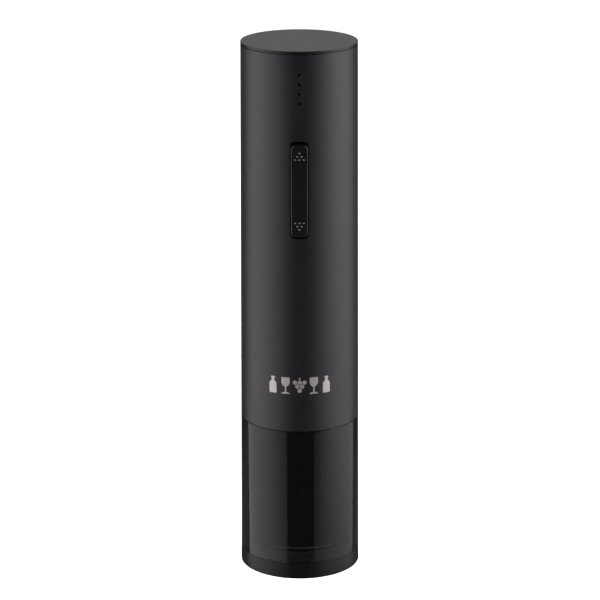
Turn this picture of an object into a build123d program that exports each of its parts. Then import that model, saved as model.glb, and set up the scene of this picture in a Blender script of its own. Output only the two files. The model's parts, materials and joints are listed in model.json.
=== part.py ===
from build123d import *

import os
from math import acos, cos, pi, radians, sin, tan

# Electric wine opener, standing on the foil cutter that docks under its clear shroud.
# Millimetres. +Z is up the opener's axis and -Y is the side with the button. The origin is the
# middle of the underside. A worm hangs through the bottle guide and is turned by a motor through
# two planetary stages; a cork climbs it into the sleeve above the bottle's lip.

# Outside
height = 227.0
foot_r = 25.37  # the sides lean in a little, from the foot to the cap
top_r = 24.07
shell_inner = 22.7
seam = 0.15
cutter_top = 6.6  # top of the foil cutter's visible band
shroud_low = cutter_top + seam
shroud_high = 65.85
shell_low = shroud_high + seam
cap_rim = 1.25  # height of the cap's visible edge
cap_gap = 0.2
shell_high = height - cap_rim - cap_gap
shroud_inner = 22.3
edge_round = 0.2  # on the outer edges of the casing

# Foil emblem on the front
emblem_z = 86.2
emblem_thick = 0.04

# Button in the front of the body
button_mid = 169.7
slot_long = 41.0
slot_wide = 7.6
slot_corner = 1.7
end_bulge = 0.5  # how far the slot's short ends bow outwards
button_gap = 0.4
button_face = 25.4  # the flat face's distance from the axis
button_back = 21.4
button_skin = 1.3  # the face's thickness over the hollow
slope_top = 1.3  # how far the face stops short of each end, where it slopes back
slope_low = 0.7
slope_deep = 1.15
bump_mid = 169.5
bump_far = 16.0  # from bump_mid to the single bump at each end
bump_row = 1.38
bump_pitch = 1.74
bump_proud = 0.25
pivot_y = -21.0
pivot_r = 0.8
pin_half = 6.2
nib_reach = 14.4  # from the pivot to the nib over each switch
nib_end = 19.8

# Bottle guide and cork sleeve
guide_low = 13.0
seat = 42.0  # where the bottle's lip stops
guide_bore = 15.8
guide_tube = 17.4
guide_skirt = 21.3
skirt_wall = 1.3
cork_bore = 13.0
cork_wall = 1.5
sleeve_high = 87.5

# Worm
worm_tip = 13.5
worm_r = 3.1  # centre of the wire to the axis
wire_r = 1.45
worm_pitch = 9.5
worm_set = 1.6  # how deep the wire is moulded into the hub
hub_low = 87.0
hub_high = 97.4
hub_r = 6.6
shaft_r = 3.0

# Planetary gears, the same in both stages
module = 0.5
sun_teeth = 12
planet_teeth = 18
ring_teeth = 48
pressure = radians(20)
addendum = 0.8 * module
dedendum = 1.0 * module
thinning = 0.12 * module  # taken off each tooth for backlash
centres = module * (sun_teeth + planet_teeth) / 2
planet_angles = (0, 120, 240)
pin_r = 1.0
run = 0.04  # radial clearance of a running fit

# Heights of the gearbox and motor
box_low = 104.0
ring_low = 107.0
ring_high = 130.0
lid_high = 133.0
box_r = 15.0
carrier_r = 10.6
carrier_thick = 2.5
stage_2_low = 107.6
planet_2_low = 110.5
planet_2_face = 6.0
stage_1_low = 117.9
planet_1_low = 120.8
planet_1_face = 5.5
motor_r = 12.2
motor_high = 161.5
motor_back = 165.5
axle_r = 1.0

# Battery and boards
cell_r = 9.1
cell_y = 2.0
cell_low = 169.6
cell_high = 219.0
board_front = -16.5
board_back = -15.3
board_low = 146.0
board_high = 220.5
switch_tall = 2.4
plunger_r = 1.5
plunger_end = 19.2
led_z = (205.55, 209.5, 213.45, 217.4)
led_hole = 0.45
peg_end = 22.9  # the pegs stop inside the pinholes
port_z = 200.9
port_wide = 8.94
port_tall = 3.26
port_gap = 0.18
frame_r = 22.4
lead_r = 0.65
lead_y = -13.6
frame_wall = 1.2

# Foil cutter
cutter_bore = 15.9
spigot_r = 21.95
spigot_high = 12.2
wheel_r = 4.0
wheel_thick = 0.8
wheel_ring = 17.2  # wheel centres to the axis
wheel_z = 3.4
wheel_pin_r = 0.75
wheel_angles = (45, 135, 225, 315)

bottom = (Align.CENTER, Align.CENTER, Align.MIN)


# Shapes used by many pieces
def outer_at(z):
    """The casing's radius at a height."""
    return foot_r + (top_r - foot_r) * z / height


def rod(radius, low, high, x=0.0, y=0.0):
    """A cylinder along Z."""
    return Pos(x, y, low) * Cylinder(radius, high - low, align=bottom)


def tube(outer, inner, low, high, x=0.0, y=0.0):
    return rod(outer, low, high, x, y) - rod(inner, low, high, x, y)


def rod_y(radius, y_from, y_to, x, z):
    """A cylinder along Y."""
    return Pos(x, (y_from + y_to) / 2, z) * Rot(90, 0, 0) * Cylinder(radius, abs(y_to - y_from))


def rod_x(radius, x_from, x_to, y, z):
    """A cylinder along X."""
    return Pos((x_from + x_to) / 2, y, z) * Rot(0, 90, 0) * Cylinder(radius, abs(x_to - x_from))


def block(x, y, z):
    """A box from three (low, high) pairs."""
    size = [high - low for low, high in (x, y, z)]
    middle = [(high + low) / 2 for low, high in (x, y, z)]
    return Pos(*middle) * Box(*size)


def turned(*points):
    """The closed outline of (radius, height) points, turned about Z."""
    return revolve(make_face(Plane.XZ * Polyline(*points, close=True)), Axis.Z)


def around(shape, angles):
    """The same shape at each angle about Z."""
    return [Rot(0, 0, angle) * shape for angle in angles]


def at(radius, angle):
    return radius * cos(angle), radius * sin(angle)


def sector(inner, outer, middle, spread, low, high):
    """A piece of a ring, spread degrees wide about the angle middle."""
    reach = outer * 1.5
    sides = [at(reach, radians(middle + spread * share / 2)) for share in (-1, -0.5, 0, 0.5, 1)]
    wedge = Pos(0, 0, low) * extrude(make_face(Polyline((0, 0), *sides, close=True)), high - low)
    return tube(outer, inner, low, high) & wedge


def wire(radius, bend, *points):
    """A round wire along straight runs joined by arcs."""
    path = FilletPolyline(*points, radius=bend) if len(points) > 2 else Line(*points)
    return sweep(Plane(path @ 0, z_dir=path % 0) * Circle(radius), path)


def involute(angle):
    return tan(angle) - angle


def gear(teeth, tip, root, thicker, low, high, turn=0.0):
    """A spur gear with a tooth centred at the angle turn, in degrees.

    Each flank is an involute of the base circle, as an arc through three of its points, and is
    radial below that circle. thicker is added to the tooth's thickness at the pitch circle.
    """
    pitch_r = module * teeth / 2
    base = pitch_r * cos(pressure)
    half_pitch = (pi * module / 2 + thicker) / (2 * pitch_r)
    start = max(base, root)
    middle = (start + tip) / 2

    def half(radius):
        return half_pitch + involute(pressure) - involute(acos(min(1.0, base / radius)))

    edges = []
    for tooth in range(teeth):
        centre = radians(turn) + 2 * pi * tooth / teeth
        after = centre + 2 * pi / teeth
        if root < base:
            edges.append(Edge.make_line(at(root, centre - half(start)), at(start, centre - half(start))))
        edges.append(
            Edge.make_three_point_arc(
                at(start, centre - half(start)),
                at(middle, centre - half(middle)),
                at(tip, centre - half(tip)),
            )
        )
        edges.append(
            Edge.make_three_point_arc(
                at(tip, centre - half(tip)),
                at(tip, centre),
                at(tip, centre + half(tip)),
            )
        )
        edges.append(
            Edge.make_three_point_arc(
                at(tip, centre + half(tip)),
                at(middle, centre + half(middle)),
                at(start, centre + half(start)),
            )
        )
        if root < base:
            edges.append(Edge.make_line(at(start, centre + half(start)), at(root, centre + half(start))))
        edges.append(
            Edge.make_three_point_arc(
                at(root, centre + half(start)),
                at(root, (centre + after) / 2),
                at(root, after - half(start)),
            )
        )
    return Pos(0, 0, low) * extrude(Face(Wire(edges)), high - low, dir=(0, 0, 1))


def outer_gear(teeth, low, high, turn=0.0):
    pitch_r = module * teeth / 2
    return gear(teeth, pitch_r + addendum, pitch_r - dedendum, -thinning, low, high, turn)


def screw(shank_r, head_r, long, head, drive=0.9):
    """A pan-head screw whose head's underside is at 0 and whose shank runs along -Z."""
    body = rod(shank_r, -long, 0) + rod(head_r, 0, head)
    cross = block((-drive, drive), (-0.2, 0.2), (head * 0.4, head))
    return body - cross - Rot(0, 0, 90) * cross


# Outer casing
def button_outline(grow):
    """The button slot's outline in X and Z about its middle, grown outwards all round."""
    half_long = slot_long / 2 - end_bulge + grow
    half_wide = slot_wide / 2 + grow
    corner = slot_corner + grow
    top = ThreePointArc((-half_wide, half_long), (0, half_long + end_bulge), (half_wide, half_long))
    low = ThreePointArc((half_wide, -half_long), (0, -half_long - end_bulge), (-half_wide, -half_long))
    sides = [
        Line((half_wide, half_long), (half_wide, -half_long)),
        Line((-half_wide, -half_long), (-half_wide, half_long)),
    ]
    face = make_face([top, sides[0], low, sides[1]])
    return fillet(face.vertices(), corner)


def button_prism(grow, front, back):
    """The outline extruded along Y, from front to back as distances from the axis."""
    plane = Plane(origin=(0, -front, button_mid), x_dir=(1, 0, 0), z_dir=(0, -1, 0))
    return extrude(plane * button_outline(grow), -(front - back))


def casing(inner, low, high):
    """A straight bore inside the leaning outer face, with both outer edges rounded."""
    wall = turned((inner, low), (outer_at(low), low), (outer_at(high), high), (inner, high))
    rims = wall.edges().filter_by(GeomType.CIRCLE).filter_by(lambda e: e.radius > inner + 0.5)
    return fillet(rims, edge_round)


def body_shell():
    shell = casing(shell_inner, shell_low, shell_high)
    shell -= button_prism(0, foot_r + 2, shell_inner - 2)
    for z in led_z:
        shell -= rod_y(led_hole, -foot_r - 1, -shell_inner + 1, 0, z)
    return shell - port_hole(port_gap, shell_inner - 1, foot_r + 1)


def port_hole(gap, y_from, y_to):
    """The charging port's rounded outline, with a gap all round, extruded along Y."""
    plane = Plane(origin=(0, y_from, port_z), x_dir=(1, 0, 0), z_dir=(0, 1, 0))
    outline = SlotOverall(port_wide + 2 * gap, port_tall + 2 * gap)
    return extrude(plane * outline, y_to - y_from)


def top_cap():
    rim_low = height - cap_rim
    cap = turned((0, rim_low), (outer_at(rim_low), rim_low), (outer_at(height), height), (0, height))
    cap = fillet(cap.edges().filter_by(GeomType.CIRCLE).sort_by(Axis.Z)[-1], edge_round)
    cap += tube(shell_inner - 0.1, shell_inner - 1.7, rim_low - 4.2, rim_low)
    bead = turned(
        (shell_inner - 0.3, rim_low - 3.4),
        (shell_inner, rim_low - 2.9),
        (shell_inner, rim_low - 2.5),
        (shell_inner - 0.3, rim_low - 2.0),
    )
    for angle in (0, 120, 240):
        cap += bead & sector(shell_inner - 1, shell_inner + 1, angle, 30, rim_low - 4, rim_low - 1)
    return cap


def clear_shroud():
    shroud = casing(shroud_inner, shroud_low, shroud_high)
    neck = tube(shell_inner - 0.1, 21.5, shroud_high - 1.5, shroud_high + 6.5)
    hook = turned(
        (shell_inner - 0.1, shroud_high + 3.0),
        (shell_inner, shroud_high + 3.3),
        (shell_inner, shroud_high + 3.9),
        (shell_inner - 0.1, shroud_high + 4.2),
    )
    return shroud + neck + hook


def bottle_guide():
    """The tube that centres the bottle, with the seat for its lip at the top."""
    low = guide_low + 4.0
    return turned(
        (guide_tube - 0.3, low),
        (guide_tube, low),
        (guide_tube, seat + 2),
        (cork_bore - 0.1, seat + 2),
        (cork_bore - 0.1, seat),
        (guide_bore, seat),
        (guide_bore, low + 0.8),
    )


def guide_skirt_sleeve():
    """The skirt behind the shroud, hanging from the cork sleeve, with a funnel at its foot."""
    return turned(
        (guide_skirt, guide_low),
        (guide_skirt, shroud_high + 1),
        (guide_skirt - skirt_wall, shroud_high + 1),
        (guide_skirt - skirt_wall, guide_low + 6.0),
        (guide_tube + 0.05, guide_low + 6.0),
        (guide_tube + 0.05, guide_low + 4.0),
        (guide_skirt - 0.7, guide_low),
    )


def cork_sleeve():
    """The tube that takes the drawn cork, with ribs that stop it turning."""
    low = seat + 2
    outside = cork_bore + cork_wall
    sleeve = tube(outside, cork_bore, low, sleeve_high)
    sleeve += tube(guide_skirt - 0.1, outside, shroud_high + 1, shroud_high + 3)
    sleeve += tube(frame_r - 1.6, outside, sleeve_high - 2, sleeve_high)
    rib = block((-0.5, 0.5), (cork_bore - 0.7, cork_bore + 0.5), (low, sleeve_high - 3))
    for one in around(rib, (0, 90, 180, 270)):
        sleeve += one
    return sleeve


def mirrored(*half):
    """A face whose outline runs up the right side of the middle line and back down the left."""
    return make_face(Polyline(*half, *[(-x, y) for x, y in reversed(half)], close=True))


def bottle_mark():
    return mirrored(
        (1.2, -3.6),
        (1.45, -3.35),
        (1.45, 0.5),
        (1.3, 1.05),
        (0.75, 1.6),
        (0.55, 2.1),
        (0.55, 3.0),
        (0.8, 3.1),
        (0.8, 3.6),
    )


def glass_mark():
    return mirrored(
        (1.65, -3.6),
        (1.65, -3.15),
        (0.32, -2.8),
        (0.32, -0.5),
        (0.8, -0.3),
        (1.25, 0.1),
        (1.6, 0.75),
        (1.75, 1.6),
        (1.72, 3.6),
    )


def grape_marks():
    """A bunch of six grapes under a short stalk."""
    marks = [Pos(0, 3.1) * Rectangle(0.56, 1.0)]
    for row, count in enumerate((3, 2, 1)):
        for n in range(count):
            marks.append(Pos(2.0 * (n - (count - 1) / 2), 1.45 - 1.76 * row) * Circle(0.92))
    return marks


def front_emblem():
    """Generic bottles, glasses and grapes in a row, as a thin foil on the body's front."""
    marks = grape_marks()
    for side in (-1, 1):
        marks += [Pos(side * 5.9, 0) * glass_mark(), Pos(side * 11.1, 0) * bottle_mark()]
    low, high = emblem_z - 6, emblem_z + 6
    foil = turned(
        (outer_at(low), low),
        (outer_at(low) + emblem_thick, low),
        (outer_at(high) + emblem_thick, high),
        (outer_at(high), high),
    )
    plane = Plane(origin=(0, -foot_r - 1, emblem_z), x_dir=(1, 0, 0), z_dir=(0, -1, 0))
    return [extrude(plane * mark, -8) & foil for mark in marks]


# Button and electronics
def rocker_button():
    button = button_prism(-button_gap, button_face, button_back)
    end = slot_long / 2 - button_gap
    for side, slope in ((-1, slope_low), (1, slope_top)):
        plane = Plane(origin=(-10, 0, button_mid), x_dir=(0, 1, 0), z_dir=(1, 0, 0))
        corner = Polyline(
            (-button_face - 0.1, side * (end - slope - 0.1)),
            (-button_face - 0.1, side * (end + 0.2)),
            (-button_face + slope_deep, side * (end + 0.2)),
            close=True,
        )
        button -= extrude(plane * make_face(corner), 20)
    long_edges = button.edges().filter_by(Axis.Z).filter_by(lambda e: e.center().Y < -button_face + 0.1)
    button = fillet(long_edges, 0.4)
    under = -button_face + button_skin
    button -= block((-2.6, 2.6), (under, -button_back + 1), (button_mid - 18, button_mid + 18))
    button += block((-2.6, 2.6), (under - 0.1, pivot_y + 1.5), (button_mid - 2, button_mid + 2))
    for side in (-1, 1):
        button += rod_y(1.2, under - 0.1, -nib_end, 0, button_mid + side * nib_reach)
    for x, z in bump_places():
        bump = extrude(SlotOverall(1.2, 0.8), bump_proud + 0.05)
        bump = fillet(bump.edges().sort_by(Axis.Z)[-4:], 0.2)
        button += Plane(origin=(x, -button_face + 0.05, z), x_dir=(1, 0, 0), z_dir=(0, -1, 0)) * bump
    return button - rod_x(pivot_r + run, -5, 5, pivot_y, button_mid)


def bump_places():
    """Three rows at each end of the face, of one, two and three bumps, the single one outermost."""
    return [
        (bump_pitch * (n - row / 2), bump_mid + side * (bump_far - bump_row * row))
        for side in (-1, 1)
        for row in range(3)
        for n in range(row + 1)
    ]


def button_pin():
    return rod_x(pivot_r, -pin_half, pin_half, pivot_y, button_mid)


def button_cradle():
    """The frame bonded behind the slot, which carries the button's pin."""
    frame = block((-8.5, 8.5), (-23.5, -19.6), (button_mid - 24, button_mid + 24))
    frame = frame & rod(shell_inner - 0.02, 140, 200)
    window = block((-4.3, 4.3), (-24, -19), (button_mid - 21.2, button_mid + 21.2))
    return frame - window - rod_x(pivot_r, -pin_half, pin_half, pivot_y, button_mid)


def main_board():
    board = block((-13, 13), (board_front, board_back), (board_low, board_high))
    for x in (-11, 11):
        for z in (board_low + 3, board_high - 3):
            board -= rod_y(1.1, board_front - 1, board_back + 1, x, z)
    return board


def switch_base(side):
    z = button_mid + side * nib_reach
    back = board_front - switch_tall
    base = block((-3, 3), (back, board_front), (z - 3, z + 3))
    return base - rod_y(plunger_r + run, back - 1, board_front - 0.6, 0, z)


def switch_plunger(side):
    z = button_mid + side * nib_reach
    return rod_y(plunger_r, -plunger_end, board_front - 1.0, 0, z)


def leds():
    return [block((-0.8, 0.8), (board_front - 0.7, board_front), (z - 0.5, z + 0.5)) for z in led_z]


def light_guide():
    """A strip with one peg for each pinhole."""
    back = board_front - 1.0
    guide = block((-1.8, 1.8), (-20.5, back), (led_z[0] - 2, led_z[-1] + 2))
    for z in led_z:
        guide += rod_y(led_hole - 0.05, -peg_end, -20.4, 0, z)
        guide -= block((-1.1, 1.1), (back - 0.5, back + 0.1), (z - 0.8, z + 0.8))
    return guide


def board_chips():
    """The motor driver, the controller and a few capacitors on the board's back."""
    places = ((0, 178, 6, 6), (-7, 190, 5, 4), (7, 186, 4, 5), (6, 200, 3, 3), (-8, 205, 3, 5))
    return [
        block((x - w / 2, x + w / 2), (board_back, board_back + 1.1), (z - t / 2, z + t / 2))
        for x, z, w, t in places
    ]


def charge_board():
    low = port_z - port_tall / 2 - 1.0
    return block((-7.5, 7.5), (11.8, 20.2), (low, low + 1.0))


def usb_socket():
    shell = port_hole(0, 15.6, 22.9)
    shell -= port_hole(-0.3, 17.0, 23.5)
    return shell + block((-3.3, 3.3), (16.5, 22.0), (port_z - 0.35, port_z + 0.35))


def battery_cell():
    cell = rod(cell_r, cell_low, cell_high - 1.2, 0, cell_y)
    rims = cell.edges().filter_by(GeomType.CIRCLE)
    cell = fillet(rims, 0.7)
    return cell + rod(2.8, cell_high - 1.3, cell_high, 0, cell_y)


def battery_tabs():
    top = block((-2.5, 2.5), (cell_y - 10, cell_y + 3), (cell_high, cell_high + 0.2))
    low = block((-2.5, 2.5), (cell_y - 10, cell_y + 3), (cell_low - 0.2, cell_low))
    return [top, low]


def battery_leads():
    rise = cell_high + 0.9
    bend = (1.5, -11.0, rise)
    top = wire(lead_r, 2.2, (1.5, cell_y - 7, rise), bend, (1.5, lead_y, 214.0), (1.5, lead_y, 210.0))
    drop = cell_low + 1.2
    low = wire(lead_r, 1.6, (-1.5, -8.4, drop), (-1.5, lead_y, drop), (-1.5, lead_y, drop + 3.2))
    return [top, low]


def motor_leads():
    rise = motor_back + 1.7
    return [wire(lead_r, 1.6, (x, -6.5, rise), (x, lead_y, rise), (x, lead_y, 173.0)) for x in (-6.0, 6.0)]


# Inner frame, in halves that meet at y = 0
def frame_ring(inner, low, thick, y=0.0):
    return rod(frame_r - 0.5, low, low + thick) - rod(inner, low - 1, low + thick + 1, 0, y)


def whole_frame():
    """The wall and the ribs that grip the gearbox, motor and cell, before it is halved."""
    low, high = sleeve_high, 221.0
    body = tube(frame_r, frame_r - frame_wall, low, high)
    for z in (108.5, 124.5):
        body += frame_ring(box_r, z, 2.5)
    for z in (138.0, 154.0):
        body += frame_ring(motor_r, z, 2.5)
    for z in (174.0, 190.0, 208.0):
        body += frame_ring(cell_r, z, 2.5, cell_y)
    for x, z in frame_screw_places():
        body += rod_y(2.6, -6, 6, x, z)
    body -= block((-14.2, 14.2), (-25, -12.0), (board_low - 1.5, high + 1))
    return body - port_hole(1.2, 18, 25) - block((-7.8, 7.8), (11.5, 20.4), (port_z - 3.6, port_z + 3.2))


def frame_screw_places():
    return [(x, z) for x in (-18.4, 18.4) for z in (117.0, 198.0)]


def half_frame(side):
    """The rear half has side 1 and the front half side -1."""
    keep = block((-30, 30), (0.02, 30), (80, 230)) if side > 0 else block((-30, 30), (-30, -0.02), (80, 230))
    half = whole_frame() & keep
    for x, z in frame_screw_places():
        half -= rod_y(1.0, -4.5, 7, x, z)
        half -= rod_y(2.0, 4.4, 7, x, z)
    return half


def frame_screws():
    shape = Rot(-90, 0, 0) * screw(1.0, 1.9, 8.6, 1.4)
    return [Pos(x, 4.4, z) * shape for x, z in frame_screw_places()]


# Gearbox
def gearbox_ring():
    """The housing with the teeth that both stages run in."""
    ring_r = module * ring_teeth / 2
    turn = 180 / ring_teeth
    low, high = ring_low - 1, ring_high + 1
    spaces = gear(ring_teeth, ring_r + dedendum, ring_r - addendum, thinning, low, high, turn)
    ring = rod(box_r - 0.02, ring_low, ring_high) - spaces
    for x, y in box_screw_places():
        ring -= rod(0.6, ring_high - 6, ring_high + 1, x, y)
    return ring


def box_screw_places():
    return [at(13.75, radians(a)) for a in (60, 180, 300)]


def gearbox_base():
    base = rod(box_r - 0.02, box_low, ring_low) + rod(8.5, box_low - 6, box_low)
    base -= rod(5.0, box_low - 7, ring_low + 1)
    return base


def output_bush():
    return rod(5.0, box_low - 6, ring_low + 0.3) - rod(shaft_r + run, box_low - 7, ring_low + 1)


def gearbox_lid():
    lid = rod(box_r - 0.02, ring_high, lid_high) - rod(4.6, ring_high - 1, lid_high + 1)
    for x, y in box_screw_places():
        lid -= rod(0.8, ring_high - 1, lid_high + 1, x, y)
        lid -= rod(1.35, lid_high - 1.0, lid_high + 1, x, y)
    for x in (-8, 8):
        lid -= rod(1.05, ring_high - 1, lid_high + 1, x)
        lid -= rod(1.9, ring_high - 1, ring_high + 1.4, x)
    return lid


def gearbox_screws():
    shape = screw(0.6, 1.25, 7.4, 0.9, 0.8)
    return [Pos(x, y, lid_high - 1.0) * shape for x, y in box_screw_places()]


def motor_screws():
    shape = Rot(180, 0, 0) * screw(1.0, 1.8, 3.3, 1.2)
    return [Pos(x, 0, ring_high + 1.4) * shape for x in (-8, 8)]


def planet(low, face, angle):
    """A planet standing at its angle, with a gap facing the sun and a gap facing the ring."""
    wheel = outer_gear(planet_teeth, low, low + face, 180 + 180 / planet_teeth)
    wheel -= rod(pin_r + run, low - 1, low + face + 1)
    return Rot(0, 0, angle) * Pos(centres, 0, 0) * wheel


def carrier_plate(low):
    plate = rod(carrier_r, low, low + carrier_thick)
    for x, y in [at(centres, radians(a)) for a in planet_angles]:
        plate -= rod(pin_r, low - 1, low + carrier_thick + 1, x, y)
    return plate


def carrier_pins(low, high):
    return [rod(pin_r, low, high, *at(centres, radians(a))) for a in planet_angles]


def carrier_1():
    """Turned by the first planets; its own teeth are the second stage's sun."""
    return carrier_plate(stage_1_low) + outer_gear(sun_teeth, planet_2_low + 0.2, stage_1_low)


def carrier_2():
    shaft = rod(shaft_r, hub_low + worm_set + 2.0, stage_2_low)
    flat = block((-4, 4), (shaft_r - 0.6, 4), (hub_low, hub_high))
    shoulder = rod(4.4, ring_low + 0.35, stage_2_low)
    hole = rod_x(0.75, -5, 5, 0, (hub_low + hub_high) / 2 + 1)
    return carrier_plate(stage_2_low) + (shaft - flat) + shoulder - hole


def worm_hub():
    hub = rod(hub_r, hub_low, hub_high)
    hub = fillet(hub.edges().filter_by(GeomType.CIRCLE), 0.6)
    shaft = rod(shaft_r, hub_low + worm_set + 2.0, hub_high + 1)
    flat = block((-4, 4), (shaft_r - 0.6, 4), (hub_low, hub_high + 1))
    return hub - (shaft - flat) - rod_x(0.75, -8, 8, 0, (hub_low + hub_high) / 2 + 1)


def hub_pin():
    return rod_x(0.75, -hub_r + 0.3, hub_r - 0.3, 0, (hub_low + hub_high) / 2 + 1)


def worm():
    """A round wire wound into a helix, ground to a point that runs on along the helix."""
    tip_long = 5.0
    turn_low = worm_tip + 1.6
    tall = hub_low + worm_set - turn_low
    path = Pos(0, 0, turn_low) * Helix(worm_pitch, tall, worm_r)
    coil = sweep(Plane(path @ 0, z_dir=path % 0) * Circle(wire_r), path, is_frenet=True)
    point = Plane(path @ 0, z_dir=-(path % 0)) * Cone(wire_r, 0.15, tip_long, align=bottom)
    return coil + point


# Motor
def motor_can():
    can = rod(motor_r, lid_high, motor_high) - rod(motor_r - 0.9, lid_high + 1.0, motor_high + 1)
    can += tube(4.5, 3.0, lid_high - 1.6, lid_high)
    can -= rod(3.0, lid_high - 2, lid_high + 2)
    for x in (-8, 8):
        can -= rod(1.0, lid_high - 1, lid_high + 2, x)
    return can


def motor_magnets():
    return [sector(9.7, motor_r - 0.9, a, 136, lid_high + 4, lid_high + 25) for a in (0, 180)]


def motor_bushes():
    front = tube(3.0, axle_r + run, lid_high - 1.6, lid_high + 1.4)
    back = tube(3.0, axle_r + run, motor_back - 1.5, motor_back + 1.9)
    return [front, back]


def motor_end_cap():
    cap = rod(motor_r, motor_high, motor_back) + rod(4.2, motor_back, motor_back + 2.2)
    cap -= rod(9.5, motor_high - 1, motor_back - 1.6)
    cap -= rod(3.0, motor_back - 1.6, motor_back + 1.9)
    return cap - rod(1.6, motor_back, motor_back + 3)


def motor_terminals():
    return [block((x - 1.2, x + 1.2), (-6.5, -6.1), (motor_back, motor_back + 2.9)) for x in (-6.0, 6.0)]


def motor_brushes():
    """A copper leaf and a carbon on each side of the commutator."""
    brushes = []
    for side in (-1, 1):
        y = side * 3.75
        carbon = block((-1.2, 1.2), (y - 0.85, y + 0.85), (160.6, 162.6))
        y_leaf = side * 4.8
        leaf = block((-1.2, 6.4), (y_leaf - 0.2, y_leaf + 0.2), (160.6, 162.6))
        brushes.append(carbon + leaf)
    return brushes


def motor_shaft():
    return rod(axle_r, planet_1_low + 0.2, motor_back + 1.6)


def motor_armature():
    """Three poles: a hub, a neck for each and a shoe that faces the magnets."""
    low, high = 139.5, 157.0
    core = rod(3.4, low, high)
    for angle in planet_angles:
        core += Rot(0, 0, angle) * block((2.0, 8.2), (-1.9, 1.9), (low, high))
        core += sector(7.6, 9.3, angle, 104, low, high)
    return core - rod(axle_r, low - 1, high + 1)


def motor_windings():
    """The copper in the gaps between the poles."""
    low, high = 138.0, 158.6
    necks = [Rot(0, 0, a) * block((0, 10), (-2.0, 2.0), (low - 1, high + 1)) for a in planet_angles]
    return [sector(3.6, 7.5, a, 100, low, high) - necks for a in (60, 180, 300)]


def motor_commutator():
    ring = tube(2.8, axle_r, 159.4, 163.6)
    return ring - around(block((1.8, 3.0), (-0.15, 0.15), (159.4, 163.0)), (30, 150, 270))


def sun_pinion():
    return outer_gear(sun_teeth, planet_1_low + 0.2, ring_high - 1.2) - rod(axle_r, ring_low, ring_high)


# Foil cutter
def cutter_ring():
    ring = turned(
        (cutter_bore, 0),
        (foot_r - 0.4, 0),
        (outer_at(0.4), 0.4),
        (outer_at(cutter_top - 0.2), cutter_top - 0.2),
        (outer_at(cutter_top) - 0.2, cutter_top),
        (spigot_r, cutter_top),
        (spigot_r, 8.0),
        (spigot_r + 0.2, 8.2),
        (spigot_r + 0.2, 8.6),
        (spigot_r, 8.8),
        (spigot_r, 9.6),
        (spigot_r + 0.2, 9.8),
        (spigot_r + 0.2, 10.2),
        (spigot_r, 10.4),
        (spigot_r, spigot_high),
        (spigot_r - 1.5, spigot_high),
        (spigot_r - 1.5, cutter_top),
        (cutter_bore, cutter_top),
    )
    slot = rod(wheel_r + 0.5, wheel_z - 0.75, wheel_z + 0.75, wheel_ring)
    hole = rod(wheel_pin_r, 1.2, 5.8, wheel_ring)
    for angle in wheel_angles:
        ring -= Rot(0, 0, angle) * slot
        ring -= Rot(0, 0, angle) * hole
    return ring


def cutter_pins():
    return around(rod(wheel_pin_r, 1.2, 5.8, wheel_ring), wheel_angles)


def cutter_wheel(angle):
    """A thin steel disc with a ground edge."""
    half = wheel_thick / 2
    disc = turned(
        (wheel_pin_r + run, wheel_z - half),
        (wheel_r - 0.8, wheel_z - half),
        (wheel_r, wheel_z - 0.06),
        (wheel_r, wheel_z + 0.06),
        (wheel_r - 0.8, wheel_z + half),
        (wheel_pin_r + run, wheel_z + half),
    )
    return Rot(0, 0, angle) * Pos(wheel_ring, 0, 0) * disc


def pieces():
    """Every node's name and its solid or solids."""
    parts = {
        "body_shell": body_shell(),
        "top_cap": top_cap(),
        "clear_shroud": clear_shroud(),
        "bottle_guide": bottle_guide(),
        "guide_sleeve": guide_skirt_sleeve(),
        "cork_sleeve": cork_sleeve(),
        "front_emblem": front_emblem(),
        "rocker_button": rocker_button(),
        "button_pin": button_pin(),
        "button_cradle": button_cradle(),
        "main_board": main_board(),
        "switch_bases": [switch_base(1), switch_base(-1)],
        "plunger_upper": switch_plunger(1),
        "plunger_lower": switch_plunger(-1),
        "leds": leds(),
        "light_guide": light_guide(),
        "board_chips": board_chips(),
        "charge_board": charge_board(),
        "usb_socket": usb_socket(),
        "battery_cell": battery_cell(),
        "battery_tabs": battery_tabs(),
        "inner_leads": battery_leads() + motor_leads(),
        "frame_front": half_frame(-1),
        "frame_rear": half_frame(1),
        "frame_screws": frame_screws(),
        "gearbox_ring": gearbox_ring(),
        "gearbox_base": gearbox_base(),
        "gearbox_lid": gearbox_lid(),
        "gearbox_screws": gearbox_screws(),
        "output_bush": output_bush(),
        "motor_screws": motor_screws(),
        "carrier_1": carrier_1(),
        "carrier_1_pins": carrier_pins(stage_1_low, planet_1_low + planet_1_face + 0.4),
        "carrier_2": carrier_2(),
        "carrier_2_pins": carrier_pins(stage_2_low, planet_2_low + planet_2_face + 0.4),
        "worm_hub": worm_hub(),
        "hub_pin": hub_pin(),
        "worm": worm(),
        "motor_can": motor_can(),
        "motor_magnets": motor_magnets(),
        "motor_bushes": motor_bushes(),
        "motor_end_cap": motor_end_cap(),
        "motor_contacts": motor_terminals() + motor_brushes(),
        "motor_shaft": motor_shaft(),
        "motor_armature": motor_armature(),
        "motor_windings": motor_windings(),
        "motor_commutator": motor_commutator(),
        "sun_pinion": sun_pinion(),
        "cutter_ring": cutter_ring(),
        "cutter_pins": cutter_pins(),
    }
    for number, angle in enumerate(planet_angles, 1):
        parts[f"planet_1_{number}"] = planet(planet_1_low, planet_1_face, angle)
        parts[f"planet_2_{number}"] = planet(planet_2_low, planet_2_face, angle)
    return parts


def main():
    os.makedirs("parts", exist_ok=True)
    parts = pieces()
    for number, angle in enumerate(wheel_angles, 1):
        parts[f"cutter_wheel_{number}"] = cutter_wheel(angle)
    for name, shape in parts.items():
        solids = shape if isinstance(shape, list) else [shape]
        solids = [solid for one in solids for solid in one.solids()]
        whole = solids[0] if len(solids) == 1 else Compound(solids)
        export_step(whole, f"parts/{name}.step")


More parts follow.
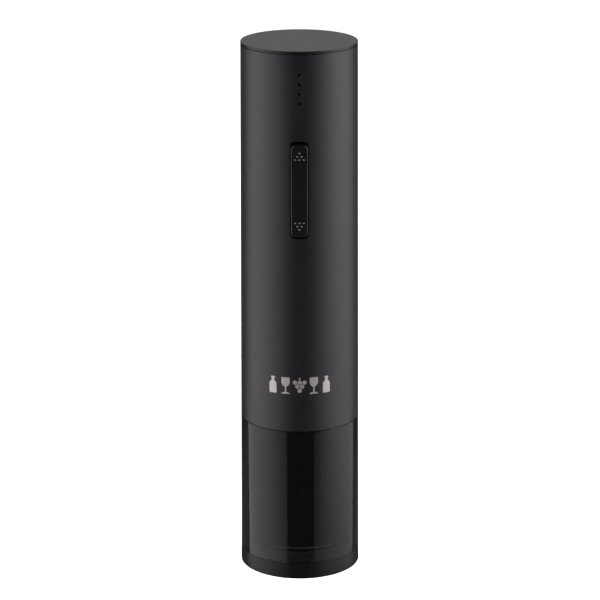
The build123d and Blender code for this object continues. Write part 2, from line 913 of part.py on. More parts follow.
main()
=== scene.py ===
import json
from math import cos, pi, radians, sin

import bpy
import numpy as np
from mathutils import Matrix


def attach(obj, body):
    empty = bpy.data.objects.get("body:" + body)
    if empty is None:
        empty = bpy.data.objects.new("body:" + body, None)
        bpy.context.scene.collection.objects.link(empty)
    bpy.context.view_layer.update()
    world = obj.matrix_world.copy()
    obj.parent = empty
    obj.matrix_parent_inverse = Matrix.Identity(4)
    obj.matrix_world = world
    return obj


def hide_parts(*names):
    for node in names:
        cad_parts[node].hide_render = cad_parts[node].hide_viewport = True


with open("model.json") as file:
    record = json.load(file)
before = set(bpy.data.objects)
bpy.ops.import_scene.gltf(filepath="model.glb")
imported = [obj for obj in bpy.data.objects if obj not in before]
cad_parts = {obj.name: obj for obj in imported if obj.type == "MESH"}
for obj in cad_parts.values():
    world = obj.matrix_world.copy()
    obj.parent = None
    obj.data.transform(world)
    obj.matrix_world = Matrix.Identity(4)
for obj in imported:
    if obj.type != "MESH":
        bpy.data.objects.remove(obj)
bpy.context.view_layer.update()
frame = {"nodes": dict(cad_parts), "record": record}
mm = 0.001

scene = bpy.context.scene
scene.view_settings.view_transform = "Standard"


# one socket of a material, so that shader maths reads as Python
class Wire:
    def __init__(self, tree, socket):
        self.tree = tree
        self.socket = socket

    def feed(self, socket, value):
        if isinstance(value, Wire):
            self.tree.links.new(value.socket, socket)
        else:
            socket.default_value = value

    def maths(self, operation, first, second=0.0):
        node = self.tree.nodes.new("ShaderNodeMath")
        node.operation = operation
        self.feed(node.inputs[0], first)
        self.feed(node.inputs[1], second)
        return Wire(self.tree, node.outputs[0])

    def node(self, kind, settings=None, output=0, **inputs):
        made = self.tree.nodes.new(kind)
        for name, value in (settings or {}).items():
            setattr(made, name, value)
        for name, value in inputs.items():
            self.feed(made.inputs[name.replace("_", " ")], value)
        return Wire(self.tree, made.outputs[output])

    # 0 below start and 1 above end, eased between
    def ramp(self, start, end):
        return self.node("ShaderNodeMapRange", {"interpolation_type": "SMOOTHSTEP"},
                         Value=self, From_Min=start, From_Max=end)

    def __add__(self, other):
        return self.maths("ADD", self, other)

    def __sub__(self, other):
        return self.maths("SUBTRACT", self, other)

    def __rsub__(self, other):
        return self.maths("SUBTRACT", other, self)

    def __mul__(self, other):
        return self.maths("MULTIPLY", self, other)

    __radd__ = __add__
    __rmul__ = __mul__


# a Principled material and the Object coordinates that its patterns read
class Finish:
    def __init__(self, name, **fixed):
        self.material = bpy.data.materials.new(name)
        self.material.use_nodes = True
        tree = self.material.node_tree
        self.shader = tree.nodes["Principled BSDF"]
        for socket, value in fixed.items():
            self.shader.inputs[socket.replace("_", " ")].default_value = value
        self.place = Wire(tree, tree.nodes.new("ShaderNodeTexCoord").outputs["Object"])
        split = tree.nodes.new("ShaderNodeSeparateXYZ")
        tree.links.new(self.place.socket, split.inputs[0])
        self.x, self.y, self.z = [Wire(tree, split.outputs[n]) for n in range(3)]

    def set(self, socket, value):
        self.place.feed(self.shader.inputs[socket], value)

    def noise(self, scale, detail=2.0, roughness=0.5, stretch=(1.0, 1.0, 1.0)):
        where = self.place
        if stretch != (1.0, 1.0, 1.0):
            where = where.node("ShaderNodeMapping", Vector=where, Scale=stretch)
        return where.node(
            "ShaderNodeTexNoise", Vector=where, Scale=scale, Detail=detail, Roughness=roughness)

    def mix(self, share, first, second):
        node = self.place.tree.nodes.new("ShaderNodeMix")
        node.data_type = "RGBA"
        sockets = [s for s in node.inputs if s.enabled]
        self.place.feed(sockets[0], share)
        for socket, value in zip(sockets[1:], (first, second)):
            self.place.feed(socket, value if isinstance(value, Wire) else (*value, 1.0))
        return Wire(self.place.tree, next(s for s in node.outputs if s.enabled))

    def bump(self, height, strength, distance):
        self.set("Normal", self.place.node(
            "ShaderNodeBump", Height=height, Strength=strength, Distance=distance))


# moulded plastic: a cloudy colour and gloss over a fine grain
def moulded(name, dark, light, rough, grain=2600.0, depth=0.00002, spread=0.06, ior=1.5):
    finish = Finish(name, IOR=ior)
    cloud = finish.noise(140.0, 3.0)
    finish.set("Base Color", finish.mix(cloud, dark, light))
    finish.set("Roughness", rough + spread * (cloud - 0.5))
    finish.bump(finish.noise(grain, 2.0, 0.6), 0.35, depth)
    return finish


# metal: brushed along one axis, with the colour drifting between two shades
def metal(name, dark, light, rough, stretch=(1.0, 1.0, 1.0), scale=900.0, metallic=1.0, depth=0.00001):
    finish = Finish(name, Metallic=metallic)
    brush = finish.noise(scale, 3.0, 0.6, stretch)
    cloud = finish.noise(180.0, 3.0)
    finish.set("Base Color", finish.mix(cloud, dark, light))
    finish.set("Roughness", rough + 0.16 * (brush - 0.5))
    finish.bump(brush, 0.3, depth)
    return finish


along = (1.0, 1.0, 0.06)
across = (0.06, 0.06, 1.0)
finishes = {
    "body_black": moulded("bodyBlack", (0.0025, 0.0027, 0.004), (0.0036, 0.0039, 0.0056), 0.4, ior=1.65),
    "button_black": moulded(
        "buttonBlack", (0.0022, 0.0022, 0.0022), (0.0032, 0.0032, 0.0032), 0.22, ior=1.75),
    "guide_black": moulded("guideBlack", (0.055, 0.054, 0.054), (0.07, 0.069, 0.069), 0.42, 1800.0),
    "chip_black": moulded("chipBlack", (0.02, 0.02, 0.02), (0.032, 0.032, 0.033), 0.5, 4000.0),
    "plunger_white": moulded("plungerWhite", (0.68, 0.68, 0.65), (0.78, 0.78, 0.75), 0.4),
    "led_white": moulded("ledWhite", (0.8, 0.8, 0.72), (0.9, 0.9, 0.84), 0.2),
    "light_pipe": moulded("lightPipe", (0.001, 0.001, 0.001), (0.002, 0.002, 0.002), 0.7, ior=1.08),
    "lead_black": moulded("leadBlack", (0.015, 0.015, 0.015), (0.026, 0.026, 0.026), 0.55, 5200.0),
    # the bumps' lighter grey is painted highlight, for the softbox light the button's domes catch
    "bump_grey": moulded("bumpPaintedHighlight", (0.085, 0.085, 0.085), (0.11, 0.11, 0.11), 0.4),
    "frame_grey": moulded("frameGrey", (0.1, 0.1, 0.105), (0.14, 0.14, 0.145), 0.5, 1200.0, 0.00004),
    "gear_acetal": moulded("gearAcetal", (0.62, 0.62, 0.59), (0.76, 0.76, 0.73), 0.38, 1500.0),
    "steel": metal("steel", (0.52, 0.52, 0.53), (0.66, 0.66, 0.67), 0.26, along),
    "blackened": metal("blackened", (0.004, 0.004, 0.004), (0.008, 0.008, 0.008), 0.5, along, metallic=0.0),
    "nickel": metal("nickel", (0.55, 0.54, 0.48), (0.7, 0.69, 0.62), 0.3, along),
    "gear_steel": metal(
        "gearSteel", (0.34, 0.34, 0.35), (0.52, 0.52, 0.52), 0.42, scale=2600.0, depth=0.00003),
    "bronze": metal("bronze", (0.48, 0.32, 0.15), (0.68, 0.48, 0.26), 0.38, scale=2600.0, depth=0.00003),
    "worm_steel": metal("wormSteel", (0.2, 0.2, 0.21), (0.34, 0.34, 0.35), 0.24, across),
    "motor_zinc": metal("motorZinc", (0.46, 0.47, 0.49), (0.62, 0.63, 0.64), 0.36, across),
    "magnet": metal("magnet", (0.06, 0.06, 0.06), (0.12, 0.12, 0.12), 0.6, metallic=0.3),
    "blade_steel": metal("bladeSteel", (0.6, 0.6, 0.61), (0.76, 0.76, 0.77), 0.2, across),
    "silver_foil": metal(
        "silverFoil", (0.52, 0.5, 0.47), (0.62, 0.6, 0.57), 0.42, metallic=0.85, depth=0.000004),
}

# cap: glossy up its edge, and a matte grain on top, whose lighter grey is painted light from above
capEdge = {"glossTo": 226.92, "matteFrom": 226.99}
capBlack = Finish("capBlack", IOR=1.5)
onTopMatteAndPaintedLight = capBlack.z.ramp(capEdge["glossTo"] * mm, capEdge["matteFrom"] * mm)
cloud = capBlack.noise(140.0, 3.0)
# the top's lighter grey is painted light, for the light falling on it from above; the matte roughness is
# real
capBlack.set("Base Color", capBlack.mix(onTopMatteAndPaintedLight, (0.0028, 0.0028, 0.0031), capBlack.mix(
    cloud, (0.036, 0.036, 0.036), (0.043, 0.043, 0.043))))
capBlack.set("Roughness", 0.35 + 0.27 * onTopMatteAndPaintedLight + 0.06 * (cloud - 0.5))
capBlack.bump(capBlack.noise(1400.0, 2.0, 0.6), 0.35, 0.00004)
finishes["cap_black"] = capBlack

# foil cutter: glossy outside, and matte on the neck above its visible band, where a pale band of painted
# light fades out towards the top
neck = {"glossTo": 6.62, "matteFrom": 6.8, "fadeFrom": 10.6, "fadeTo": 12.1}
neckBlack = Finish("cutterBlack", IOR=1.42)
neckMatteAndPaintedLight = neckBlack.z.ramp(neck["glossTo"] * mm, neck["matteFrom"] * mm)
neckMatteAndPaintedLight = neckMatteAndPaintedLight - neckBlack.z.ramp(neck["fadeFrom"] * mm, neck["fadeTo"] * mm)
cloud = neckBlack.noise(140.0, 3.0)
# pale warm grey on the neck: painted light, for the glow seen through the smoked shroud; the matte
# roughness is real
neckBlack.set("Base Color", neckBlack.mix(neckMatteAndPaintedLight, neckBlack.mix(
    cloud, (0.0012, 0.0012, 0.0012), (0.002, 0.002, 0.002)), (0.33, 0.305, 0.3)))
neckBlack.set("Roughness", 0.36 + 0.16 * neckMatteAndPaintedLight + 0.06 * (cloud - 0.5))
neckBlack.bump(neckBlack.noise(2600.0, 2.0, 0.6), 0.35, 0.00002)
finishes["cutter_black"] = neckBlack

# copper: fine turns of wire, or rolled leaf
wirePitch = 0.42
copper = metal("copper", (0.52, 0.2, 0.08), (0.78, 0.36, 0.18), 0.3)
turns = copper.z.maths("SINE", copper.z * (2 * pi / (wirePitch * mm)))
copper.bump(turns, 0.5, 0.00008)
finishes["copper"] = copper

# laminated steel: a dark line between every two sheets
sheetPitch = 0.5
core = metal("coreSteel", (0.26, 0.26, 0.27), (0.4, 0.4, 0.41), 0.4)
sheets = core.z.maths("SINE", core.z * (2 * pi / (sheetPitch * mm)))
core.bump(sheets.ramp(-0.2, 0.9), 0.6, 0.00006)
finishes["core_steel"] = core

# circuit board: tracks run up and across under a black mask
lanes = {"drift": 0.4, "noise": 60.0, "half": 0.8, "from": 0.3, "to": 0.38}
rungs = {"drift": 0.3, "noise": 35.0, "half": 1.6, "from": 0.9, "to": 1.0}
board = Finish("boardBlack", Roughness=0.34)


# stripes across one axis, twice half apart, each wandering by drift times a noise
def stripes(axis, stripe):
    place = axis + stripe["drift"] * board.noise(stripe["noise"], 1.0)
    return axis.maths("PINGPONG", place, stripe["half"] * mm).ramp(stripe["from"] * mm, stripe["to"] * mm)


tracks = board.x.maths("MAXIMUM", stripes(board.x, lanes), stripes(board.z, rungs))
board.set("Base Color", board.mix(tracks, (0.008, 0.01, 0.009), (0.024, 0.028, 0.026)))
board.bump(tracks, 0.4, 0.00003)
finishes["board_black"] = board

# cell: a shrink wrap with a pale band and a bare top
label = {"low": 200.0, "high": 205.8, "edge": 0.3, "bare": 217.4, "bareEdge": 0.2}
cell = Finish("cellWrap", Roughness=0.3)
band = cell.z.ramp(label["low"] * mm, (label["low"] + label["edge"]) * mm)
band = band - cell.z.ramp(label["high"] * mm, (label["high"] + label["edge"]) * mm)
wrap = cell.mix(band, (0.03, 0.12, 0.34), (0.5, 0.52, 0.55))
ends = cell.z.ramp(label["bare"] * mm, (label["bare"] + label["bareEdge"]) * mm)
cell.set("Base Color", cell.mix(ends, wrap, (0.6, 0.6, 0.58)))
cell.set("Metallic", ends)
cell.bump(cell.noise(300.0, 2.0, 0.5, across), 0.4, 0.00004)
finishes["cell_wrap"] = cell

# smoked clear plastic, denser where it is seen on edge
smoked = Finish("smokedClear", Roughness=0.03, IOR=1.49, Transmission_Weight=1.0)
edge = smoked.place.node("ShaderNodeLayerWeight", output=1, Blend=0.5)
smoked.set("Base Color", smoked.mix(edge.ramp(0.55, 0.95), (0.5, 0.5, 0.505), (0.02, 0.02, 0.0205)))
finishes["smoked_clear"] = smoked

slotOf = {part["node"]: part["material_slot"] for part in frame["record"]["subparts"]}
for node, piece in frame["nodes"].items():
    piece.data.materials.clear()
    piece.data.materials.append(finishes[slotOf[node]].material)
print("finishes", len(finishes))


# smooth shading, broken where faces meet at more than the sharp angle
def shade(shape):
    sharp = radians(32)
    shape.polygons.foreach_set("use_smooth", np.ones(len(shape.polygons), bool))
    shape.set_sharp_from_angle(angle=sharp)


# meshes from numpy grids
def mesh(name, points, quads, slot=None, smooth=True):
    shape = bpy.data.meshes.new(name)
    shape.from_pydata(points.reshape(-1, 3).tolist(), [], [list(map(int, q)) for q in quads])
    if smooth:
        shade(shape)
    piece = bpy.data.objects.new(name, shape)
    scene.collection.objects.link(piece)
    if slot:
        shape.materials.append(finishes[slot].material)
    return piece


def gridQuads(rows, columns, wrapRows=False, wrapColumns=False):
    r = np.arange(rows if wrapRows else rows - 1)
    c = np.arange(columns if wrapColumns else columns - 1)
    r, c = np.meshgrid(r, c, indexing="ij")
    below, right = (r + 1) % rows, (c + 1) % columns
    corners = [r * columns + c, r * columns + right, below * columns + right, below * columns + c]
    return np.stack(corners, -1).reshape(-1, 4)


# (r cos a, r sin a, z) for each (r, z) of the outline; wave(a, r, z) is added to r
def lathe(name, outline, slot, segments=512, wave=None):
    outline = np.array(outline)
    a = np.linspace(0, 2 * pi, segments, endpoint=False)
    r = np.repeat(outline[:, :1], segments, 1)
    z = np.repeat(outline[:, 1:], segments, 1)
    if wave:
        r = r + wave(a[None, :], r, z)
    points = np.stack([r * np.cos(a), r * np.sin(a), z], -1) * mm
    return mesh(name, points, gridQuads(len(outline), segments, True, True), slot)


# an outline whose corners marked with 1 are rounded: each arc is a quadratic curve through it
def rounded(corners, radius, steps=5):
    out = []
    count = len(corners)
    for n, (r, z, soft) in enumerate(corners):
        here = np.array([r, z])
        if not soft:
            out.append(here)
            continue
        before = np.array(corners[n - 1][:2]) - here
        after = np.array(corners[(n + 1) % count][:2]) - here
        start = here + before / np.linalg.norm(before) * radius
        end = here + after / np.linalg.norm(after) * radius
        for t in np.linspace(0, 1, steps + 1):
            out.append((1 - t) ** 2 * start + 2 * t * (1 - t) * here + t ** 2 * end)
    return out


# the casing's radius: it leans in evenly from the foot to the cap
def casingRadius(z):
    return casing["foot"] + (casing["top"] - casing["foot"]) * z / casing["height"]


casing = {"foot": 25.37, "top": 24.07, "height": 227.0, "inner": 22.7, "round": 0.2, "low": 66.0,
          "high": 225.55, "rows": 108}

# clear shroud, with the neck that holds it in the body
shroud = {"low": 6.65, "high": 65.85, "inner": 22.3, "neck": 21.5, "rise": 6.5, "sink": 1.5,
          "slack": 0.1, "hook": (3.0, 3.3, 3.9, 4.2)}
top = shroud["high"]
hook = [top + rise for rise in shroud["hook"]]
loose = casing["inner"] - shroud["slack"]
shroudPiece = lathe("shroudSmooth", rounded([
    (shroud["inner"], shroud["low"], 0),
    (casingRadius(shroud["low"]), shroud["low"], 1),
    (casingRadius(top), top, 1),
    (loose, top, 0),
    (loose, hook[0], 0),
    (casing["inner"], hook[1], 0),
    (casing["inner"], hook[2], 0),
    (loose, hook[3], 0),
    (loose, top + shroud["rise"], 0),
    (shroud["neck"], top + shroud["rise"], 0),
    (shroud["neck"], top - shroud["sink"], 0),
    (shroud["inner"], top - shroud["sink"], 0),
], casing["round"]), "smoked_clear")
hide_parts("clear_shroud")
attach(shroudPiece, "housing")

# skirt behind the shroud, its outer face fluted
skirt = {"low": 13.0, "outer": 21.3, "wall": 1.3, "tube": 17.45, "lip": 0.7, "funnel": 4.0, "ledge": 6.0,
         "over": 1.0, "flutes": 45, "deep": 0.1, "share": 0.16, "phase": 0.15, "plainLow": 2.0,
         "plainHigh": 0.5, "perFlute": 24, "soft": 1.6, "slack": 0.1}


# -deep in each flute, over a share of its pitch with soft sides, on the outer face between its ends
def fluting(a, r, z):
    phase = np.abs((a * skirt["flutes"] / (2 * pi) + skirt["phase"]) % 1.0 - 0.5) / (skirt["share"] / 2)
    groove = np.clip(skirt["soft"] - phase, 0, 1)
    between = (z > skirt["low"] + skirt["plainLow"]) & (z < top - skirt["plainHigh"])
    return -skirt["deep"] * groove * between * (r > skirt["outer"] - skirt["slack"])


skirtPiece = lathe("skirtFluted", [
    (skirt["outer"], skirt["low"]),
    (skirt["outer"], skirt["low"] + skirt["plainLow"] - 0.1),
    (skirt["outer"], skirt["low"] + skirt["plainLow"] + 0.4),
    (skirt["outer"], top - skirt["plainHigh"] - 0.4),
    (skirt["outer"], top - skirt["plainHigh"] + 0.1),
    (skirt["outer"], top + skirt["over"]),
    (skirt["outer"] - skirt["wall"], top + skirt["over"]),
    (skirt["outer"] - skirt["wall"], skirt["low"] + skirt["ledge"]),
    (skirt["tube"], skirt["low"] + skirt["ledge"]),
    (skirt["tube"], skirt["low"] + skirt["funnel"]),
    (skirt["outer"] - skirt["lip"], skirt["low"]),
], "guide_black", skirt["flutes"] * skirt["perFlute"], fluting)
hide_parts("guide_sleeve")
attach(skirtPiece, "housing")

# body, turned, then cut for the button, the pinholes and the charging port
button = {"mid": 169.7, "long": 41.0, "wide": 7.6, "corner": 1.7, "bulge": 0.5, "gap": 0.4, "face": 25.4,
          "back": 21.4, "round": 0.3, "slopeTop": 1.3, "slopeLow": 0.7, "slopeDeep": 3.2, "steps": 9}
holes = {"heights": (205.55, 209.5, 213.45, 217.4), "radius": 0.52, "port": 200.9, "wide": 9.3,
         "tall": 3.62, "outside": 27.0, "inside": 20.0, "dotSteps": 40}


# a rounded rectangle in x and z; its ends bow outwards by bulge (1 - (x / half width) squared)
def buttonRing(side, upper, lower, corner, steps=14):
    halfWide = button["wide"] / 2 - side
    end = button["long"] / 2 - button["bulge"]
    points = []
    for sx, sz, begin in ((1, 1, 0.0), (-1, 1, 0.5), (-1, -1, 1.0), (1, -1, 1.5)):
        inset = upper if sz > 0 else lower
        for t in np.linspace(begin, begin + 0.5, steps):
            x = sx * (halfWide - corner) + corner * cos(t * pi)
            z = sz * (end - inset - corner) + corner * sin(t * pi)
            points.append((x, z + sz * button["bulge"] * (1 - (x / halfWide) ** 2)))
    return np.array(points)


# an outline in x and z, run along y from -front to -back and closed at both ends
def prism(outline, height, front, back):
    n = len(outline)
    sides = [np.stack([outline[:, 0], np.full(n, -y), outline[:, 1] + height], -1) for y in (back, front)]
    faces = gridQuads(2, n, False, True).tolist() + [list(range(n))[::-1], list(range(n, 2 * n))]
    return np.array(sides).reshape(-1, 3) * mm, faces


# a stadium: half circles of the height's diameter, their centres apart by width - height
def slotOutline(wide, tall, steps=40):
    turn = np.linspace(0, 2 * pi, 2 * steps, endpoint=False)
    apart = np.sign(np.cos(turn)) * (wide - tall) / 2
    return np.stack([tall / 2 * np.cos(turn) + apart, tall / 2 * np.sin(turn)], -1)


# take closed solids, each (points, faces), out of a piece
def cut(piece, solids):
    points, faces = [], []
    for own, theirs in solids:
        start = sum(len(p) for p in points)
        points.append(own)
        faces += [[start + n for n in face] for face in theirs]
    tool = mesh("cutting", np.concatenate(points), faces, smooth=False)
    modifier = piece.modifiers.new("cut", "BOOLEAN")
    modifier.operation = "DIFFERENCE"
    modifier.solver = "EXACT"
    modifier.object = tool
    whole = bpy.data.meshes.new_from_object(piece.evaluated_get(bpy.context.evaluated_depsgraph_get()))
    piece.modifiers.clear()
    piece.data = whole
    whole.name = piece.name
    bpy.data.objects.remove(tool)
    shade(whole)


rise = [(casingRadius(z), z, 0) for z in np.linspace(casing["low"] + 1, casing["high"] - 1, casing["rows"])]
bodyPiece = lathe("bodySmooth", rounded([
    (casing["inner"], casing["low"], 0),
    (casingRadius(casing["low"]), casing["low"], 1),
    *rise,
    (casingRadius(casing["high"]), casing["high"], 1),
    (casing["inner"], casing["high"], 0),
], casing["round"]), "body_black")
dot = np.linspace(0, 2 * pi, holes["dotSteps"], endpoint=False)
dot = holes["radius"] * np.stack([np.cos(dot), np.sin(dot)], -1)
cut(bodyPiece, [
    prism(buttonRing(0, 0, 0, button["corner"]), button["mid"], holes["outside"], holes["inside"]),
    *[prism(dot, z, holes["outside"], holes["inside"]) for z in holes["heights"]],
    prism(slotOutline(holes["wide"], holes["tall"]), holes["port"], -holes["inside"], -holes["outside"]),
])
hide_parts("body_shell")
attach(bodyPiece, "housing")

# foil cutter's ring, turned, then cut for the wheels and their pins
foil = {"bore": 15.9, "top": 6.6, "spigot": 21.95, "wall": 1.5, "high": 12.2, "chamferIn": 0.6,
        "chamferDown": 0.8, "round": 0.1, "ridges": (8.4, 10.0), "bead": 0.2, "beadFoot": 0.4,
        "beadFlat": 0.2, "wheelRing": 17.2, "angles": (45, 135, 225, 315),
        "slots": {"low": 2.65, "high": 4.15, "radius": 4.5},
        "pins": {"low": 1.2, "high": 5.8, "radius": 0.75}}
ridges = [point for z in foil["ridges"] for point in (
    (foil["spigot"], z - foil["beadFoot"], 0),
    (foil["spigot"] + foil["bead"], z - foil["beadFlat"], 1),
    (foil["spigot"] + foil["bead"], z + foil["beadFlat"], 1),
    (foil["spigot"], z + foil["beadFoot"], 0),
)]
ringPiece = lathe("cutterSmooth", rounded([
    (foil["bore"], 0.0, 0),
    (casingRadius(0.0), 0.0, 1),
    (casingRadius(foil["top"]), foil["top"], 1),
    (foil["spigot"], foil["top"], 0),
    *ridges,
    (foil["spigot"], foil["high"] - foil["chamferDown"], 0),
    (foil["spigot"] - foil["chamferIn"], foil["high"], 0),
    (foil["spigot"] - foil["wall"], foil["high"], 0),
    (foil["spigot"] - foil["wall"], foil["top"], 0),
    (foil["bore"], foil["top"], 0),
], foil["round"]), "cutter_black")


# a closed cylinder along z, its middle on the ring of wheels at an angle
def disc(radius, low, high, angle, steps=96):
    turn = np.linspace(0, 2 * pi, steps, endpoint=False)
    x = foil["wheelRing"] * cos(radians(angle)) + radius * np.cos(turn)
    y = foil["wheelRing"] * sin(radians(angle)) + radius * np.sin(turn)
    points = np.stack([np.stack([x, y, np.full_like(x, z)], -1) for z in (low, high)])
    faces = gridQuads(2, steps, False, True).tolist()
    faces += [list(range(steps))[::-1], list(range(steps, 2 * steps))]
    return points.reshape(-1, 3) * mm, faces


for room in (foil["slots"], foil["pins"]):
    cut(ringPiece, [disc(room["radius"], room["low"], room["high"], angle) for angle in foil["angles"]])
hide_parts("cutter_ring")
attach(ringPiece, "foil_cutter")

# cap, with a fine rounded edge and the tube that pushes into the body
cap = {"low": 225.75, "spigot": 22.6, "inner": 21.0, "deep": 4.2, "middle": 0.02, "segments": 360}
capPiece = lathe("capSmooth", rounded([
    (cap["middle"], cap["low"], 0),
    (cap["inner"], cap["low"], 0),
    (cap["inner"], cap["low"] - cap["deep"], 0),
    (cap["spigot"], cap["low"] - cap["deep"], 0),
    (cap["spigot"], cap["low"], 0),
    (casingRadius(cap["low"]), cap["low"], 0),
    (casingRadius(casing["height"]), casing["height"], 1),
    (cap["middle"], casing["height"], 0),
], casing["round"]), "cap_black", cap["segments"])
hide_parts("top_cap")
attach(capPiece, "housing")
print("casing pieces")

# rocker button, ring by ring: straight sides, steep ends, then a quarter round up to the flat face
def buttonRings():
    gap, c = button["gap"], button["corner"] - button["gap"]
    yield buttonRing(gap, gap, gap, c), button["back"]
    yield buttonRing(gap, gap, gap, c), button["face"] - button["slopeDeep"]
    for t in np.linspace(0, 1, button["steps"]):
        side = button["round"] * (1 - cos(t * pi / 2))
        back = button["round"] * cos(t * pi / 2)
        upper, lower = gap + button["slopeTop"] - back, gap + button["slopeLow"] - back
        ring = buttonRing(gap + side, upper, lower, c - side)
        yield ring, button["face"] - button["round"] * (1 - sin(t * pi / 2))


rings = [np.stack([ring[:, 0], np.full(len(ring), -y), ring[:, 1] + button["mid"]], -1)
         for ring, y in buttonRings()]
count = len(rings[0])
quads = gridQuads(len(rings), count, False, True)[:, ::-1]
face = (len(rings) - 1) * count
quads = quads.tolist() + [list(range(count)), [face + n for n in range(count)][::-1]]
buttonPiece = mesh("buttonSmooth", np.array(rings) * mm, quads, "button_black")
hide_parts("rocker_button")
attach(buttonPiece, "button")

# bumps: domes, proud (1 - u^4)^(1/2) over a stadium's plan, with u from 1 at the rim to almost 0
bumps = {"mid": 169.5, "far": 16.0, "row": 1.38, "rows": 3, "pitch": 1.74, "long": 0.95, "tall": 0.52,
         "proud": 0.25, "sunk": 0.02, "around": 24, "rings": 7, "crown": 0.02}


def bumpPoints(x, z):
    turn = np.linspace(0, 2 * pi, bumps["around"], endpoint=False)
    u = np.linspace(1, bumps["crown"], bumps["rings"])[:, None]
    half = bumps["tall"] / 2
    shift = np.sign(np.cos(turn)) * (bumps["long"] - bumps["tall"]) / 2
    rim = button["face"] - bumps["sunk"]
    return np.stack([
        x + u * (half * np.cos(turn) + shift),
        -(rim + (bumps["proud"] + bumps["sunk"]) * np.sqrt(1 - u ** 4)) + 0 * turn,
        z + u * half * np.sin(turn),
    ], -1)


places = [(bumps["pitch"] * (n - row / 2), bumps["mid"] + side * (bumps["far"] - bumps["row"] * row))
          for side in (-1, 1) for row in range(bumps["rows"]) for n in range(row + 1)]
domes = np.array([bumpPoints(x, z) for x, z in places])
quads = []
for n in range(len(places)):
    first = n * bumps["rings"] * bumps["around"]
    crown = first + (bumps["rings"] - 1) * bumps["around"]
    quads += (gridQuads(bumps["rings"], bumps["around"], False, True) + first).tolist()
    quads += [[crown + k for k in range(bumps["around"])]]
# lighter grey domes: painted highlight standing in for the light they catch from the side softboxes
bumpPiece = mesh("buttonBumps", domes * mm, quads, "bump_grey")
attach(bumpPiece, "button")
print("button")

# worm: a wire round (R cos t, R sin t, pitch t / 2 pi); over the point's length its radius grows
# as (length / point)^taper
worm = {"tip": 12.9, "high": 88.6, "ring": 3.1, "wire": 1.45, "pitch": 9.5, "point": 6.0,
        "blunt": 0.03, "taper": 0.8, "perTurn": 56, "sides": 28}
turnsUp = (worm["high"] - worm["tip"]) / worm["pitch"]
t = np.linspace(0, 2 * pi * turnsUp, int(turnsUp * worm["perTurn"]))
climb = worm["pitch"] / (2 * pi)
centre = np.stack([worm["ring"] * np.cos(t), worm["ring"] * np.sin(t), worm["tip"] + climb * t], -1)
tangent = np.stack([-worm["ring"] * np.sin(t), worm["ring"] * np.cos(t), np.full_like(t, climb)], -1)
tangent /= np.linalg.norm(tangent, axis=1, keepdims=True)
outward = np.stack([np.cos(t), np.sin(t), 0 * t], -1)
upward = np.cross(outward, tangent)
length = np.hypot(worm["ring"], climb) * t
thick = worm["wire"] * np.clip(length / worm["point"], worm["blunt"], 1) ** worm["taper"]
sides = worm["sides"]
ring = np.linspace(0, 2 * pi, sides, endpoint=False)
points = centre[:, None] + thick[:, None, None] * (
    np.cos(ring)[None, :, None] * outward[:, None] + np.sin(ring)[None, :, None] * upward[:, None])
last = (len(t) - 1) * sides
quads = gridQuads(len(t), sides, False, True).tolist()
quads += [list(range(sides)), [last + n for n in range(sides)][::-1]]
wormPiece = mesh("wormSmooth", points * mm, quads, "worm_steel")
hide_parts("worm")
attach(wormPiece, "output")
print("worm")

# camera
view = {"away": 1.03949, "up": 0.42853, "down": 16.7329, "pan": -0.0366, "roll": 0.0876, "lens": 154.595,
        "sensor": 36.0, "farthest": 20.0}
camera = bpy.data.cameras.new("camera")
camera.lens = view["lens"]
camera.sensor_width = view["sensor"]
camera.clip_end = view["farthest"]
eye = bpy.data.objects.new("camera", camera)
eye.location = (0.0, -view["away"], view["up"])
eye.rotation_euler = (radians(90.0 - view["down"]), radians(view["roll"]), radians(view["pan"]))
scene.collection.objects.link(eye)
scene.camera = eye

# softboxes: upright curved panels, the azimuth counted from the camera's side
panels = {"radius": 0.9, "bottom": -0.6, "top": 1.3, "level": -0.3, "columns": 48,
          "tint": (1.02, 0.965, 1.01, 1.0)}


# part of an upright cylinder, glowing by peak (1 + rise h) cos^(2 + 2 bend h) (fall (azimuth - crest)),
# with h = z - level
def softbox(name, side, near, far, peak, crest, fall=0.0, rise=0.0, bend=0.0):
    angle = np.radians(np.linspace(near, far, panels["columns"]))
    points = np.empty((2, panels["columns"], 3))
    points[..., 0] = side * panels["radius"] * np.sin(angle)
    points[..., 1] = -panels["radius"] * np.cos(angle)
    points[..., 2] = np.array([[panels["bottom"]], [panels["top"]]])
    panel = mesh(name, points, gridQuads(2, panels["columns"]), smooth=False)
    finish = bpy.data.materials.new(name)
    finish.use_nodes = True
    tree = finish.node_tree
    tree.nodes.clear()
    split = tree.nodes.new("ShaderNodeSeparateXYZ")
    tree.links.new(tree.nodes.new("ShaderNodeTexCoord").outputs["Object"], split.inputs[0])
    x, y, z = [Wire(tree, split.outputs[n]) for n in range(3)]
    around = x.maths("ARCTAN2", x * side, y * -1.0)
    wave = x.maths("COSINE", fall * (around - radians(crest)))
    glow = tree.nodes.new("ShaderNodeEmission")
    glow.inputs["Color"].default_value = panels["tint"]
    lift = z - panels["level"]
    shape = x.maths("POWER", wave * wave, 1.0 + bend * lift)
    x.feed(glow.inputs["Strength"], shape * peak * (1.0 + rise * lift))
    tree.links.new(glow.outputs[0], tree.nodes.new("ShaderNodeOutputMaterial").inputs[0])
    panel.data.materials.append(finish)
    panel.visible_camera = False
    panel.visible_transmission = False
    panel.visible_shadow = False


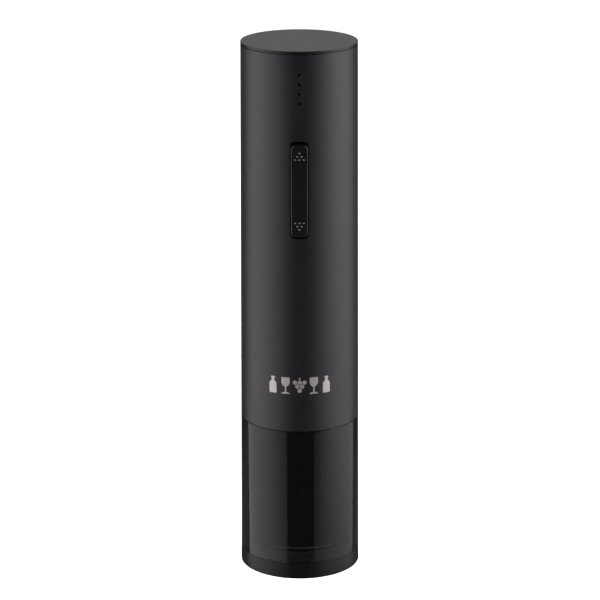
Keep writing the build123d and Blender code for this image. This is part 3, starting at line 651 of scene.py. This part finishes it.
softbox("leftBox", -1, near=24.5, far=118.0, peak=1.2, crest=88.0, fall=0.9, rise=0.5, bend=0.9)
softbox("rightBox", 1, near=27.5, far=126.5, peak=0.96, crest=86.0, fall=1.05, rise=2.1, bend=1.8)
softbox("backBox", 1, near=150.0, far=210.0, peak=0.11, crest=180.0)

# top light, for the matte surfaces that face up
overhead = {"side": 0.5, "watts": 14.0, "height": 1.0}
lamp = bpy.data.lights.new("topLight", "AREA")
lamp.size = overhead["side"]
lamp.energy = overhead["watts"]
above = bpy.data.objects.new("topLight", lamp)
above.location = (0.0, 0.0, overhead["height"])
above.visible_glossy = False
scene.collection.objects.link(above)

# floor
half = 3.0
corners = [[(-half, -half, 0.0), (half, -half, 0.0)], [(-half, half, 0.0), (half, half, 0.0)]]
floor = mesh("floor", np.array(corners), gridQuads(2, 2), smooth=False)
pale = Finish("paleFloor", Roughness=0.9, Emission_Strength=0.8)
pale.set("Base Color", (0.9, 0.9, 0.9, 1.0))
pale.set("Emission Color", (1.0, 1.0, 1.0, 1.0))
# clear from beneath, so that the underside can be seen
below = pale.place.node("ShaderNodeNewGeometry", output="Backfacing")
cover = pale.place.tree.nodes.new("ShaderNodeMixShader")
links = pale.place.tree.links
pale.place.feed(cover.inputs[0], below)
links.new(pale.shader.outputs[0], cover.inputs[1])
links.new(pale.place.tree.nodes.new("ShaderNodeBsdfTransparent").outputs[0], cover.inputs[2])
links.new(cover.outputs[0], pale.place.tree.nodes["Material Output"].inputs["Surface"])
floor.data.materials.append(pale.material)
floor.visible_glossy = False
floor.visible_transmission = False
floor.visible_shadow = False

# world: white behind for the camera, dark for reflections
world = bpy.data.worlds.new("studio")
scene.world = world
world.use_nodes = True
tree = world.node_tree
tree.nodes.clear()
path = tree.nodes.new("ShaderNodeLightPath")
sky = tree.nodes.new("ShaderNodeBackground")
sky.inputs["Color"].default_value = (1.0, 1.0, 1.0, 1.0)
shine = Wire(tree, path.outputs["Is Camera Ray"])
ambient = 0.04
shine.feed(sky.inputs["Strength"], ambient + (1.0 - ambient) * shine)
tree.links.new(sky.outputs[0], tree.nodes.new("ShaderNodeOutputWorld").inputs[0])
print("studio")
